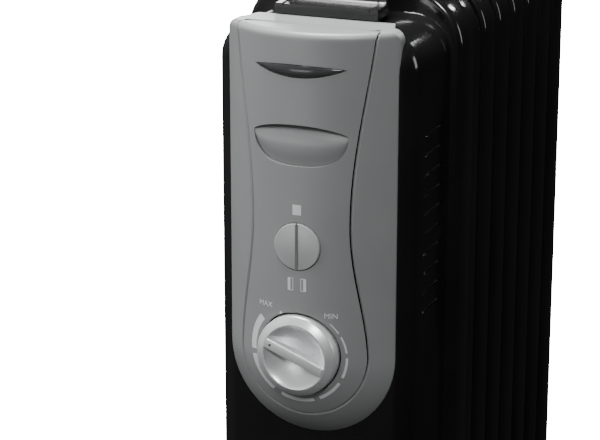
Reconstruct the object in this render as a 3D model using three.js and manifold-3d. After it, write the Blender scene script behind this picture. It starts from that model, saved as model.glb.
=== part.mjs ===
// Oil filled radiator heater: seven sealed oil sections, a control box on the front section,
// a carrying handle and four swivel castors.
// Millimetres. +X is right seen from the front, -Y is the front, +Z is up, the floor is z = 0.
// The depth y = 0 of the drawing is the foremost line of the curved control fascia.
import * as THREE from 'three';
import { mergeVertices } from 'three/addons/utils/BufferGeometryUtils.js';
import Module from 'manifold-3d';

const wasm = await Module();
wasm.setup();

// ---- Driving dimensions ----

const touchGap = 0.3;

const fin = {
  count: 7,
  halfWidth: 82,
  bottom: 46,
  height: 579,
  cornerRadius: 42,
  sheet: 1,
  bandDepth: 25.4,
  pitch: 35.3,
  firstFront: 126.4,
  chamberThickness: 13,
  chamberWall: 1,
  chamberWidth: 34,
  channelOffset: 36,
  hubInset: 56,
  hubRadius: 27,
  hubBore: 24.5,
  hubSides: 12,
};

const sectionTop = fin.bottom + fin.height;

const cover = {
  halfWidth: fin.halfWidth - 7,
  front: 29.7,
  bottom: fin.bottom + 12,
  top: sectionTop - 16.5,
  cornerRadius: 28,
  edgeRadius: 13,
  sheet: 1.5,
};

const collar = {
  halfWidth: fin.halfWidth + 2,
  front: fin.firstFront - 24.4,
  back: fin.firstFront + 5.1,
  bottom: fin.bottom - 2.5,
  top: sectionTop + 2.5,
  cornerRadius: fin.cornerRadius + 2,
  edgeRadius: 5,
};

const louvre = {
  count: 10,
  pitch: 14.5,
  lowest: sectionTop - 223,
  front: 52,
  length: 40,
  opening: 4,
};

const knob = {
  radius: 30,
  front: -6.8,
  back: 9,
  rim: 7,
  barWidth: 7.3,
  barAngle: -21.5,
  recess: 6,
};

const dial = {
  height: sectionTop - 248,
  seamRadius: knob.radius + 18.5,
  holeRadius: knob.radius + 1.4,
};

const fasciaHalf = dial.seamRadius + 16;
const fasciaDepth = cover.front - 0.06;

const fascia = {
  halfWidth: fasciaHalf,
  curveRadius: (fasciaHalf ** 2 + fasciaDepth ** 2) / (2 * fasciaDepth),
  roundHeight: dial.height - 4.6,
  top: cover.top + 2,
  wall: 2.4,
  tabBack: 55,
  tabHalfWidth: 51,
  shoulder: 8.5,
  seam: 0.8,
};

const panelTopBack = 27;
const panelHalfTop = 52.5;
const waistHalf = 36.8;
const waistHeight = dial.height + 97;

const rocker = {
  height: dial.height + 80.6,
  holeRadius: 17.65,
  clearance: 0.35,
  front: -0.4,
  depth: 7.4,
  split: 0.5,
  pinDepth: 3.6,
  pinRadius: 1,
  pinClearance: 0.3,
  facePlate: 1.2,
  postWidth: 2.8,
  postHeight: 7,
};

const lens = {
  halfWidth: 34.5,
  height: dial.height + 208.5,
  rise: 2.5,
  drop: 7,
  thickness: 2.2,
};

const scoop = {
  halfWidth: 34,
  height: dial.height + 161,
  rise: 7.4,
  drop: 22.4,
  floor: 9,
  wall: 1.8,
};

const lamp = { radius: 3, length: 14, spacing: 13 };

const mountingPlate = { thickness: 1.5, inset: 0.6 };

const controls = {
  plateY: 46,
  plateThickness: 1.6,
  halfWidth: 46,
  bottom: dial.height - 32,
  top: cover.top - 8.5,
};

const handle = {
  front: 52,
  back: 187,
  halfWidth: 39,
  gripHalfWidth: 19,
  thickness: 7.5,
  rise: 50,
  footLength: 20,
  linerThickness: 3,
};

const castor = {
  wheelRadius: 17,
  wheelWidth: 14,
  axleRadius: 2.5,
  axleClearance: 0.4,
  trail: 9,
  spacing: fin.halfWidth + 23,
  stemRadius: 3.5,
  stemClearance: 0.35,
  forkWall: 2,
  plateThickness: 2.5,
  plateWidth: 34,
};

const uBolt = { radius: 2.5, clearance: 1 };

const element = { rodRadius: 5, rodOffset: 8, flangeRadius: 26.5, flangeThickness: 5 };

const segmentsFine = 6;
const segmentsCoarse = 4;

// ---- Derived sizes ----

const finMiddle = (i) => fin.firstFront + fin.bandDepth / 2 + fin.pitch * i;
const hubLow = fin.bottom + fin.hubInset;
const hubHigh = fin.bottom + fin.height - fin.hubInset;
const stackFront = finMiddle(0) - fin.pitch / 2;
const stackBack = finMiddle(fin.count - 1) + fin.pitch / 2;
const hubBoreFlat = fin.hubBore * Math.cos(Math.PI / fin.hubSides);

// ---- Materials ----

function paint(color, roughness, metalness) {
  return new THREE.MeshStandardMaterial({ color, roughness, metalness });
}

const blackPaint = paint(0x0b0b0c, 0.18, 0);
const greyPlastic = paint(0x7b7d7e, 0.42, 0);
const keyPlastic = paint(0x9a9c9d, 0.4, 0);
const blackPlastic = paint(0x111214, 0.35, 0);
const smokedLens = paint(0x5a5c5e, 0.12, 0);
const satinSilver = paint(0xb9bbbd, 0.3, 0.8);
const zincSteel = paint(0xa8abad, 0.35, 0.9);
const brass = paint(0xb5994e, 0.35, 0.9);
const lampGlass = paint(0xd9c7a8, 0.1, 0);
const tyreRubber = paint(0x17181a, 0.6, 0);
const ivoryPlastic = paint(0xe4e0d4, 0.5, 0);

// ---- Modelling helpers ----

// A manifold solid of a closed three.js geometry.
function solid(geometry) {
  const bare = geometry.clone();
  bare.deleteAttribute('normal');
  bare.deleteAttribute('uv');
  const merged = mergeVertices(bare, 1e-4);
  const triVerts = new Uint32Array(merged.index.array);
  return new wasm.Manifold(new wasm.Mesh({ numProp: 3, vertProperties: merged.attributes.position.array, triVerts }));
}

// A flat-shaded three.js geometry of a manifold solid.
function geometryOf(body) {
  const mesh = body.getMesh();
  const geometry = new THREE.BufferGeometry();
  geometry.setAttribute('position', new THREE.BufferAttribute(new Float32Array(mesh.vertProperties), 3));
  geometry.setIndex(new THREE.BufferAttribute(new Uint32Array(mesh.triVerts), 1));
  const flat = geometry.toNonIndexed();
  flat.computeVertexNormals();
  return flat;
}

const turnToY = new THREE.Matrix4().makeRotationX(Math.PI / 2);
const turnToX = new THREE.Matrix4().makeBasis(
  new THREE.Vector3(0, 1, 0),
  new THREE.Vector3(0, 0, 1),
  new THREE.Vector3(1, 0, 0),
);

// An outline in x and z, extruded from front to back.
function alongY(outline, front, back, curveSegments = segmentsCoarse) {
  const geometry = new THREE.ExtrudeGeometry(outline, { depth: back - front, bevelEnabled: false, curveSegments });
  geometry.applyMatrix4(turnToY);
  geometry.translate(0, back, 0);
  return solid(geometry);
}

// An outline in x and y, extruded from low to high.
function alongZ(outline, low, high, curveSegments = segmentsCoarse) {
  const geometry = new THREE.ExtrudeGeometry(outline, { depth: high - low, bevelEnabled: false, curveSegments });
  geometry.translate(0, 0, low);
  return solid(geometry);
}

// An outline in y and z, extruded from left to right.
function alongX(outline, left, right, curveSegments = segmentsCoarse) {
  const geometry = new THREE.ExtrudeGeometry(outline, { depth: right - left, bevelEnabled: false, curveSegments });
  geometry.applyMatrix4(turnToX);
  geometry.translate(left, 0, 0);
  return solid(geometry);
}

// A box from its lowest and highest corners.
function block(x0, x1, y0, y1, z0, z1) {
  const geometry = new THREE.BoxGeometry(x1 - x0, y1 - y0, z1 - z0);
  geometry.translate((x0 + x1) / 2, (y0 + y1) / 2, (z0 + z1) / 2);
  return solid(geometry);
}

// A round bar between two points.
function bar(from, to, radius, sides = 16) {
  const a = new THREE.Vector3(...from);
  const b = new THREE.Vector3(...to);
  const geometry = new THREE.CylinderGeometry(radius, radius, a.distanceTo(b), sides);
  const turn = new THREE.Quaternion().setFromUnitVectors(
    new THREE.Vector3(0, 1, 0),
    b.clone().sub(a).normalize(),
  );
  geometry.applyQuaternion(turn);
  geometry.translate(...a.add(b).multiplyScalar(0.5).toArray());
  return solid(geometry);
}

// A turned piece on an axis along y: profile points are [radius, y], from the front to the back.
function turnedY(profile, x, z, sides = 24) {
  const geometry = new THREE.LatheGeometry(profile.map(([r, y]) => new THREE.Vector2(r, y)), sides);
  geometry.translate(x, 0, z);
  return solid(geometry);
}

function roundedRect(halfWidth, low, high, radius) {
  const outline = new THREE.Shape();
  const r = Math.min(radius, halfWidth - 1, (high - low) / 2 - 1);
  outline.moveTo(-halfWidth + r, low);
  outline.lineTo(halfWidth - r, low);
  outline.absarc(halfWidth - r, low + r, r, -Math.PI / 2, 0, false);
  outline.lineTo(halfWidth, high - r);
  outline.absarc(halfWidth - r, high - r, r, 0, Math.PI / 2, false);
  outline.lineTo(-halfWidth + r, high);
  outline.absarc(-halfWidth + r, high - r, r, Math.PI / 2, Math.PI, false);
  outline.lineTo(-halfWidth, low + r);
  outline.absarc(-halfWidth + r, low + r, r, Math.PI, Math.PI * 1.5, false);
  return outline;
}

function polygon(points) {
  return new THREE.Shape(points.map(([a, b]) => new THREE.Vector2(a, b)));
}

// Two circular arcs that meet at the tips of a lens-shaped slot.
function almond(halfWidth, height, rise, drop) {
  const outline = new THREE.Shape();
  const upper = (halfWidth ** 2 + rise ** 2) / (2 * rise);
  const lower = (halfWidth ** 2 + drop ** 2) / (2 * drop);
  const upperAngle = Math.asin(halfWidth / upper);
  const lowerAngle = Math.asin(halfWidth / lower);
  outline.absarc(0, height + rise - upper, upper, Math.PI / 2 - upperAngle, Math.PI / 2 + upperAngle, false);
  outline.absarc(0, height - drop + lower, lower, -Math.PI / 2 - lowerAngle, -Math.PI / 2 + lowerAngle, false);
  return outline;
}

// A pressed box with its front edge rounded.
function roundedBox(size, grow) {
  const outline = roundedRect(size.halfWidth + grow, size.bottom - grow, size.top + grow, size.cornerRadius + grow);
  const geometry = new THREE.ExtrudeGeometry(outline, {
    depth: size.back - size.front + grow,
    bevelThickness: size.edgeRadius,
    bevelSize: size.edgeRadius,
    bevelOffset: -size.edgeRadius,
    bevelSegments: 2,
    curveSegments: 2,
  });
  geometry.applyMatrix4(turnToY);
  geometry.translate(0, size.back + size.edgeRadius, 0);
  const kept = block(-200, 200, size.front - grow - 1, size.back, 0, 900);
  return solid(geometry).intersect(kept);
}

const meshes = [];

function add(name, body, material) {
  const mesh = new THREE.Mesh(geometryOf(body), material);
  mesh.name = name;
  meshes.push(mesh);
}

// ---- Oil sections ----

// One section: a wide closed rim, a web, and a flat oil chamber that joins its two hubs.
function finBody(i) {
  const middle = finMiddle(i);
  const front = middle - fin.bandDepth / 2;
  const back = middle + fin.bandDepth / 2;
  const outline = (inset) =>
    roundedRect(
      fin.halfWidth - inset,
      fin.bottom + inset,
      sectionTop - inset,
      fin.cornerRadius - inset,
    );
  const rimHollow = alongY(outline(fin.sheet), front - 1, back + 1, 2);
  const rim = alongY(outline(0), front, back, 2).subtract(rimHollow);
  const web = alongY(outline(fin.sheet / 2), middle - fin.sheet / 2, middle + fin.sheet / 2, 2);
  const half = fin.chamberThickness / 2;
  const inner = half - fin.chamberWall;
  const channelOuter = fin.chamberWidth / 2;
  const channelInner = channelOuter - fin.chamberWall;
  const hubEnd = fin.pitch / 2 - touchGap / 2;
  let body = rim.add(web);
  for (const z of [hubLow, hubHigh]) {
    body = body.add(bar([0, middle - hubEnd, z], [0, middle + hubEnd, z], fin.hubRadius, fin.hubSides));
    const reach = fin.channelOffset + channelOuter;
    body = body.add(block(-reach, reach, middle - half, middle + half, z - channelOuter, z + channelOuter));
  }
  for (const side of [-1, 1]) {
    const x = side * fin.channelOffset;
    body = body.add(block(x - channelOuter, x + channelOuter, middle - half, middle + half, hubLow, hubHigh));
  }
  for (const side of [-1, 1]) {
    const x = side * fin.channelOffset;
    body = body.subtract(block(x - channelInner, x + channelInner, middle - inner, middle + inner, hubLow, hubHigh));
  }
  for (const z of [hubLow, hubHigh]) {
    const reach = fin.channelOffset + channelInner;
    const duct = block(-reach, reach, middle - inner, middle + inner, z - channelInner, z + channelInner);
    body = body.subtract(duct);
    body = body.subtract(bar([0, middle - hubEnd - 1, z], [0, middle + hubEnd + 1, z], fin.hubBore, fin.hubSides));
  }
  return body;
}

for (let i = 0; i < fin.count; i += 1) {
  add(`fin_${i + 1}`, finBody(i), blackPaint);
}

// ---- Front cover: a louvred box that steps out to a collar round the first section ----

const coverBox = { ...cover, back: collar.front + collar.edgeRadius };
const coverInside = {
  ...coverBox,
  front: cover.front + cover.sheet,
  back: collar.back + 1,
  halfWidth: cover.halfWidth - cover.sheet,
  bottom: cover.bottom + cover.sheet,
  top: cover.top - cover.sheet,
  cornerRadius: cover.cornerRadius - cover.sheet,
  edgeRadius: cover.edgeRadius - cover.sheet,
};
const collarInside = {
  ...collar,
  front: collar.front + cover.sheet,
  back: collar.back + 1,
  halfWidth: collar.halfWidth - cover.sheet,
  bottom: collar.bottom + cover.sheet,
  top: collar.top - cover.sheet,
  cornerRadius: collar.cornerRadius - cover.sheet,
  edgeRadius: collar.edgeRadius - cover.sheet,
};

const coverOuter = roundedBox(coverBox, 0).add(roundedBox(collar, 0));
const coverWindow = alongY(
  roundedRect(controls.halfWidth, controls.bottom, controls.top - 6, 10),
  cover.front - 1,
  cover.front + cover.sheet + 1,
);

function frontCover() {
  let body = coverOuter.subtract(roundedBox(coverInside, 0)).subtract(roundedBox(collarInside, 0));
  body = body.subtract(coverWindow);
  const reach = cover.halfWidth + 5;
  for (let i = 0; i < louvre.count; i += 1) {
    const z = louvre.lowest + louvre.pitch * i;
    const y0 = louvre.front;
    const y1 = louvre.front + louvre.length;
    body = body.subtract(block(-reach, reach, y0, y1, z - louvre.opening / 2, z + louvre.opening / 2));
  }
  const glandHole = bar([0, 80, cover.bottom - 5], [0, 80, cover.bottom + 5], 7 + touchGap, 16);
  return body.subtract(glandHole);
}

add('front_cover', frontCover(), blackPaint);

// ---- Mounting plate behind the cover, with holes for the hubs' fittings ----

const plateBack = stackFront - touchGap;
const plateFront = plateBack - mountingPlate.thickness;

function mountingPlateBody() {
  const inset = cover.sheet + mountingPlate.inset;
  const outline = roundedRect(
    collar.halfWidth - inset,
    collar.bottom + inset,
    collar.top - inset,
    collar.cornerRadius - inset,
  );
  let body = alongY(outline, plateFront, plateBack, 2);
  for (const z of [hubLow, hubHigh]) {
    body = body.subtract(bar([0, plateFront - 1, z], [0, plateBack + 1, z], element.flangeRadius + 1, 24));
  }
  return body;
}

add('mounting_plate', mountingPlateBody(), zincSteel);

// ---- Fascia and control panel: one curved skin, parted by a seam ----

// The curved front: an upright cylinder above, a ball end below, shrunk by inset.
function fasciaSolid(inset) {
  const radius = fascia.curveRadius - inset;
  const half = fascia.halfWidth - inset;
  const centreY = fascia.curveRadius;
  const edgeAngle = Math.asin(half / radius);
  const plan = new THREE.Shape();
  plan.moveTo(half, fascia.tabBack - inset);
  plan.lineTo(-half, fascia.tabBack - inset);
  plan.lineTo(-half, centreY - radius * Math.cos(edgeAngle));
  plan.absarc(0, centreY, radius, -Math.PI / 2 - edgeAngle, -Math.PI / 2 + edgeAngle, false);
  const upright = alongZ(plan, fascia.roundHeight, fascia.top - inset, segmentsFine);
  const steps = 4;
  const profile = [[0, centreY - radius]];
  for (let i = 1; i <= steps; i += 1) {
    const angle = (edgeAngle * i) / steps;
    profile.push([radius * Math.sin(angle), centreY - radius * Math.cos(angle)]);
  }
  profile.push([half, cover.front + 2]);
  profile.push([0, cover.front + 2]);
  const ball = turnedY(profile, 0, fascia.roundHeight, 28);
  return upright.add(ball);
}

// The tab that lies on the cover's top, narrowing to the back, and the drop at its two corners.
function fasciaTrim() {
  const tab = polygon([
    [-fascia.halfWidth - 1, -5],
    [fascia.halfWidth + 1, -5],
    [fascia.halfWidth + 1, cover.front + fascia.shoulder],
    [fascia.tabHalfWidth, fascia.tabBack],
    [-fascia.tabHalfWidth, fascia.tabBack],
    [-fascia.halfWidth - 1, cover.front + fascia.shoulder],
  ]);
  return alongZ(tab, fascia.roundHeight - fascia.halfWidth - 1, fascia.top + 1);
}

// The panel's outline: a round end about the dial, a waist, and wider again at the top.
function panelOutline(offset) {
  const outline = new THREE.Shape();
  const r = dial.seamRadius + offset;
  const side = [
    [r, dial.height],
    [45.6 + offset, dial.height + 27],
    [39.3 + offset, waistHeight - 32],
    [waistHalf + offset, waistHeight],
    [39 + offset, waistHeight + 44],
    [43.8 + offset, waistHeight + 76],
    [panelHalfTop + offset, fascia.top + 1],
  ];
  outline.absarc(0, dial.height, r, Math.PI, 0, false);
  outline.splineThru(side.slice(1).map(([x, z]) => new THREE.Vector2(x, z)));
  outline.lineTo(-side[side.length - 1][0], side[side.length - 1][1]);
  const left = side.slice(0, -1).reverse();
  outline.splineThru(left.map(([x, z]) => new THREE.Vector2(-x, z)));
  return outline;
}

const coverClear = roundedBox({ ...coverBox, back: 100 }, touchGap);
const skin = fasciaSolid(0).intersect(fasciaTrim()).subtract(fasciaSolid(fascia.wall)).subtract(coverClear);

function controlPanel() {
  const outline = panelOutline(-fascia.seam / 2);
  let body = skin.intersect(alongY(outline, -20, panelTopBack - fascia.seam / 2));
  const pocket = almond(scoop.halfWidth + scoop.wall, scoop.height, scoop.rise + scoop.wall, scoop.drop + scoop.wall);
  const pocketWall = alongY(pocket, 0, scoop.floor + scoop.wall).intersect(fasciaSolid(0.5));
  body = body.add(pocketWall);
  const pocketHollow = alongY(almond(scoop.halfWidth, scoop.height, scoop.rise, scoop.drop), -20, scoop.floor);
  body = body.subtract(pocketHollow);
  body = body.subtract(bar([0, -20, dial.height], [0, 25, dial.height], dial.holeRadius, 32));
  body = body.subtract(bar([0, -20, rocker.height], [0, 20, rocker.height], rocker.holeRadius, 24));
  return body.subtract(alongY(almond(lens.halfWidth, lens.height, lens.rise, lens.drop), -20, 20));
}

add('fascia', skin.subtract(alongY(panelOutline(fascia.seam / 2), -20, panelTopBack + fascia.seam / 2)), greyPlastic);
add('control_panel', controlPanel(), greyPlastic);

// ---- Indicator lens, lamps and their holder ----

function indicatorLens() {
  const outline = almond(
    lens.halfWidth - touchGap * 4,
    lens.height,
    lens.rise - touchGap,
    lens.drop - touchGap,
  );
  const front = 0.3;
  const outer = fasciaSolid(front);
  return alongY(outline, -20, 20).intersect(outer.subtract(fasciaSolid(front + lens.thickness)));
}

add('indicator_lens', indicatorLens(), smokedLens);

const lampHeight = lens.height + (lens.rise - lens.drop) / 2;
const lampFront = 9;
const lampBack = lampFront + lamp.length;

function lampBody(x) {
  const profile = [
    [0, lampFront],
    [lamp.radius * 0.7, lampFront + 0.8],
    [lamp.radius, lampFront + 2.6],
    [lamp.radius, lampBack],
    [0, lampBack],
  ];
  return turnedY(profile, x, lampHeight, 12);
}

add('lamp_left', lampBody(-lamp.spacing), lampGlass);
add('lamp_right', lampBody(lamp.spacing), lampGlass);

function lampHolder() {
  const reach = lamp.spacing + lamp.radius + 5;
  const low = lampHeight - lamp.radius - 2;
  const high = lampHeight + lamp.radius + 2;
  let body = block(-reach, reach, lampFront + 6, controls.plateY - touchGap, low, high);
  for (const x of [-lamp.spacing, lamp.spacing]) {
    const socket = bar([x, lampFront, lampHeight], [x, lampBack + touchGap, lampHeight], lamp.radius + touchGap, 12);
    body = body.subtract(socket);
  }
  return body;
}

add('lamp_holder', lampHolder(), blackPlastic);

// ---- Twin rocker switch ----

const keyRadius = rocker.holeRadius - rocker.clearance;
const pinY = rocker.front + rocker.pinDepth;
const tubRadius = rocker.holeRadius + touchGap;
const tubWall = 2.3;
const skinInside = fascia.curveRadius - fascia.wall;
const switchFront =
  fascia.curveRadius - Math.sqrt(skinInside ** 2 - (tubRadius + tubWall) ** 2) + touchGap;
const switchFloor = rocker.front + rocker.depth + 3;
const postFront = pinY - rocker.pinRadius - 2 * rocker.pinClearance - 0.2;

// A half-moon key: a flat face, a side that narrows behind it, and a notch for the middle post.
function rockerKey(side) {
  const profile = [
    [0, rocker.front],
    [keyRadius - 0.8, rocker.front],
    [keyRadius, rocker.front + 0.7],
    [keyRadius - 0.5, rocker.front + 3.4],
    [keyRadius - 1.5, rocker.front + rocker.depth],
    [0, rocker.front + rocker.depth],
  ];
  const z = rocker.height;
  const round = turnedY(profile, 0, z, 24);
  const x0 = side > 0 ? rocker.split / 2 : -30;
  const x1 = side > 0 ? 30 : -rocker.split / 2;
  const half = round.intersect(block(x0, x1, -20, 30, z - 30, z + 30));
  const notchX = rocker.postWidth / 2 + 0.5;
  const notchZ = rocker.postHeight / 2 + 1.2;
  const notch = block(-notchX, notchX, rocker.front + rocker.facePlate, 30, z - notchZ, z + notchZ);
  const pinHole = bar([-30, pinY, z], [30, pinY, z], rocker.pinRadius + rocker.pinClearance, 10);
  return half.subtract(notch).subtract(pinHole);
}

add('rocker_left', rockerKey(-1), keyPlastic);
add('rocker_right', rockerKey(1), keyPlastic);

// A round tub with a middle post that holds the pin between the keys.
function switchBody() {
  const z = rocker.height;
  const floorBack = switchFloor + 2;
  let body = bar([0, switchFront, z], [0, floorBack, z], tubRadius + tubWall, 24);
  body = body.subtract(bar([0, switchFront - 1, z], [0, switchFloor, z], tubRadius, 24));
  body = body.add(block(-13, 13, floorBack - 0.5, controls.plateY - touchGap, z - 15, z + 15));
  const postX = rocker.postWidth / 2;
  const postZ = rocker.postHeight / 2;
  body = body.add(block(-postX, postX, postFront, switchFloor + 0.5, z - postZ, z + postZ));
  const pinHole = bar([-5, pinY, z], [5, pinY, z], rocker.pinRadius + rocker.pinClearance, 10);
  return body.subtract(pinHole);
}

function rockerPin() {
  const reach = keyRadius - 2;
  return bar([-reach, pinY, rocker.height], [reach, pinY, rocker.height], rocker.pinRadius, 10);
}

add('switch_body', switchBody(), blackPlastic);
add('rocker_pin', rockerPin(), zincSteel);

// ---- Control knob with its thermostat ----

function controlKnob() {
  const z = dial.height;
  const profile = [
    [0, knob.front],
    [knob.radius - knob.rim - 1, knob.front],
    [knob.radius - knob.rim, knob.front + 0.6],
    [knob.radius - 1, knob.front + 3.6],
    [knob.radius, knob.front + 5],
    [knob.radius, knob.back],
    [0, knob.back],
  ];
  let body = turnedY(profile, 0, 0, 32);
  const recessRadius = knob.radius - knob.rim - 1.2;
  const dish = bar([0, knob.front - 5, 0], [0, knob.front + knob.recess, 0], recessRadius, 32);
  const barReach = recessRadius + 1;
  const barHalf = knob.barWidth / 2;
  const keep = block(-barReach, barReach, knob.front - 6, knob.back, -barHalf, barHalf);
  body = body.subtract(dish.subtract(keep));
  const socket = bar([0, knob.back - 6, 0], [0, knob.back + 1, 0], 3 + touchGap, 16);
  body = body.subtract(socket);
  return body.rotate([0, -knob.barAngle, 0]).translate([0, 0, z]);
}

add('control_knob', controlKnob(), satinSilver);

const shaftFront = knob.back - 6 + touchGap;

add('thermostat_shaft', bar([0, shaftFront, dial.height], [0, controls.plateY - 6, dial.height], 3, 16), zincSteel);

function thermostatBody() {
  const z = dial.height;
  let body = block(-18, 18, controls.plateY - 14, controls.plateY - touchGap, z - 16, z + 16);
  body = body.subtract(bar([0, controls.plateY - 16, z], [0, controls.plateY - 5, z], 3 + touchGap, 16));
  return body;
}

add('thermostat', thermostatBody(), zincSteel);

function controlBracket() {
  const outline = roundedRect(controls.halfWidth - 2, controls.bottom, controls.top, 8);
  const back = controls.plateY + controls.plateThickness;
  let body = alongY(outline, controls.plateY, back, 2);
  for (const z of [controls.bottom + 20, controls.top - 60]) {
    for (const side of [-1, 1]) {
      const x = side * 36;
      body = body.add(block(x - 4, x + 4, back - 0.5, plateFront - touchGap, z - 1, z + 1));
    }
  }
  return body;
}

add('control_bracket', controlBracket(), zincSteel);

add('thermal_cutout', bar([0, 62, 300], [0, 74, 300], 9, 20), blackPlastic);

function terminalBlock() {
  let body = block(-24, 24, 60, 76, 240, 258);
  for (const x of [-16, 0, 16]) {
    body = body.subtract(bar([x, 68, 230], [x, 68, 270], 3, 10));
  }
  return body;
}

add('terminal_block', terminalBlock(), ivoryPlastic);

// A steel shelf in the lower box carries the cut-out and the terminal block.
function terminalBracket() {
  let body = block(-30, 30, 78, 79.6, 225, 320);
  body = body.add(block(-30, 30, 78, plateFront - touchGap, 225, 226.6));
  return body;
}

add('terminal_bracket', terminalBracket(), zincSteel);

// ---- Heating element in the lower hubs, and the plugs of the other hubs ----

const flangeBack = stackFront + touchGap / 2 - touchGap;
const flangeFront = flangeBack - element.flangeThickness;

// A round rod bent into a U: two straight legs and a half-round bend.
function bentRod(legs, bendCentre, bendRadius, along, radius, sides) {
  const path = new THREE.CatmullRomCurve3();
  const steps = 8;
  for (let i = 0; i <= steps; i += 1) {
    const angle = (Math.PI * i) / steps;
    const point = bendCentre.clone().addScaledVector(along, bendRadius * Math.sin(angle));
    point.x -= bendRadius * Math.cos(angle);
    path.points.push(point);
  }
  const section = new THREE.Shape();
  section.absarc(0, 0, radius, 0, Math.PI * 2, false);
  const geometry = new THREE.ExtrudeGeometry(section, { steps, extrudePath: path, curveSegments: sides / 2 });
  let body = solid(geometry);
  for (const side of [-1, 1]) {
    const end = bendCentre.clone().addScaledVector(along, 0.4);
    end.x = side * bendRadius;
    const start = end.clone().addScaledVector(along, -legs);
    body = body.add(bar(start.toArray(), end.toArray(), radius, sides));
  }
  return body;
}

function heatingElement() {
  const far = stackBack - 30;
  const near = flangeFront - 14;
  const centre = new THREE.Vector3(0, far, hubLow);
  return bentRod(far - near, centre, element.rodOffset, new THREE.Vector3(0, 1, 0), element.rodRadius, 10);
}

add('heating_element', heatingElement(), zincSteel);

function elementFlange() {
  let body = bar([0, flangeFront, hubLow], [0, flangeBack, hubLow], element.flangeRadius, 6);
  for (const side of [-1, 1]) {
    const x = side * element.rodOffset;
    const hole = bar([x, flangeFront - 1, hubLow], [x, flangeBack + 1, hubLow], element.rodRadius + touchGap + 0.1, 16);
    body = body.subtract(hole);
  }
  return body;
}

add('element_flange', elementFlange(), brass);

// A plug has a hexagon head on the hub's face and a stub in its bore.
function hubPlug(faceY, outwards, z) {
  const head = bar([0, faceY, z], [0, faceY + outwards * 6, z], element.flangeRadius, 6);
  const stubFront = [0, faceY + outwards * 0.5, z];
  const stub = bar(stubFront, [0, faceY - outwards * 10, z], hubBoreFlat - touchGap, 16);
  return head.add(stub);
}

add('filler_plug', hubPlug(flangeBack, -1, hubHigh), brass);
const rearFace = stackBack + touchGap / 2;
add('rear_plug_top', hubPlug(rearFace, 1, hubHigh), blackPaint);
add('rear_plug_bottom', hubPlug(rearFace, 1, hubLow), blackPaint);

// ---- Handle: a flat bridge from the cover's top to the second section ----

const handleBase = cover.top + touchGap + fascia.wall;

// The bridge's side profile, lifted by offset: a low front foot, a high grip, a back foot on the fin.
function bridgeProfile(bottomOffset, topOffset) {
  const y0 = handle.front;
  const y1 = handle.back;
  const low = handleBase;
  const grip = handleBase + handle.rise;
  const rear = sectionTop + touchGap;
  const path = new THREE.Shape();
  path.moveTo(y0, low + bottomOffset);
  path.lineTo(y0 + handle.footLength, low + 1 + bottomOffset);
  path.bezierCurveTo(y0 + 32, low + 2 + bottomOffset, y0 + 30, grip + bottomOffset, y0 + 48, grip + bottomOffset);
  path.lineTo(y1 - 30, grip + bottomOffset);
  path.bezierCurveTo(y1 - 10, grip + bottomOffset, y1 - 12, rear + 8 + bottomOffset, y1 - 10, rear);
  path.lineTo(y1, rear);
  path.bezierCurveTo(y1 - 2, rear + 12, y1 - 3, grip + topOffset, y1 - 28, grip + topOffset);
  path.lineTo(y0 + 46, grip + topOffset);
  const footTop = low + 1 + topOffset;
  path.bezierCurveTo(y0 + 22, grip + topOffset, y0 + 26, footTop, y0 + handle.footLength - 3, footTop);
  path.lineTo(y0 + 1, low + topOffset);
  return path;
}

function handlePlan() {
  const w = handle.halfWidth;
  const g = handle.gripHalfWidth;
  const y0 = handle.front;
  const y1 = handle.back;
  const plan = new THREE.Shape();
  plan.moveTo(-w, y0 - 1);
  plan.lineTo(w, y0 - 1);
  plan.lineTo(w - 1, y0 + handle.footLength);
  plan.bezierCurveTo(w - 2, y0 + 38, g, y0 + 36, g, y0 + 56);
  plan.lineTo(g, y1 - 36);
  plan.bezierCurveTo(g, y1 - 20, g + 6, y1 - 20, g + 6, y1 + 1);
  plan.lineTo(-g - 6, y1 + 1);
  plan.bezierCurveTo(-g - 6, y1 - 20, -g, y1 - 20, -g, y1 - 36);
  plan.lineTo(-g, y0 + 56);
  plan.bezierCurveTo(-g, y0 + 36, -w + 2, y0 + 38, -w + 1, y0 + handle.footLength);
  return plan;
}

function handleBody() {
  const side = alongX(bridgeProfile(0, handle.thickness), -50, 50);
  const plan = alongZ(handlePlan(), handleBase - 30, handleBase + 80, 4);
  return side.intersect(plan);
}

add('handle', handleBody(), blackPlastic);

function gripLiner() {
  const top = handleBase + handle.rise - touchGap;
  const half = handle.gripHalfWidth - 3;
  const outline = roundedRect(half, handle.front + 52, handle.back - 34, 8);
  return alongZ(outline, top - handle.linerThickness, top, 2);
}

add('grip_liner', gripLiner(), tyreRubber);

// ---- Cord gland in the cover's floor ----

function cordGland() {
  const low = cover.bottom - 6;
  let body = bar([0, 80, low], [0, 80, cover.bottom + 8], 7, 16);
  body = body.add(bar([0, 80, low - 0.2], [0, 80, cover.bottom - touchGap], 10, 16));
  return body.subtract(bar([0, 80, low - 3], [0, 80, cover.bottom + 10], 3.6, 12));
}

add('cord_gland', cordGland(), blackPlastic);

// ---- Castor plates with their U-bolts and wing nuts ----

const plateTop = fin.bottom - touchGap;
const plateLow = plateTop - castor.plateThickness;
const castorRows = [
  { name: 'front', y: finMiddle(0) + fin.pitch / 2 },
  { name: 'rear', y: finMiddle(fin.count - 2) + fin.pitch / 2 },
];

// The U-bolt hangs over the joined hubs between two sections and passes down through the plate.
const boltOffset = fin.hubRadius + uBolt.clearance + uBolt.radius;

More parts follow.
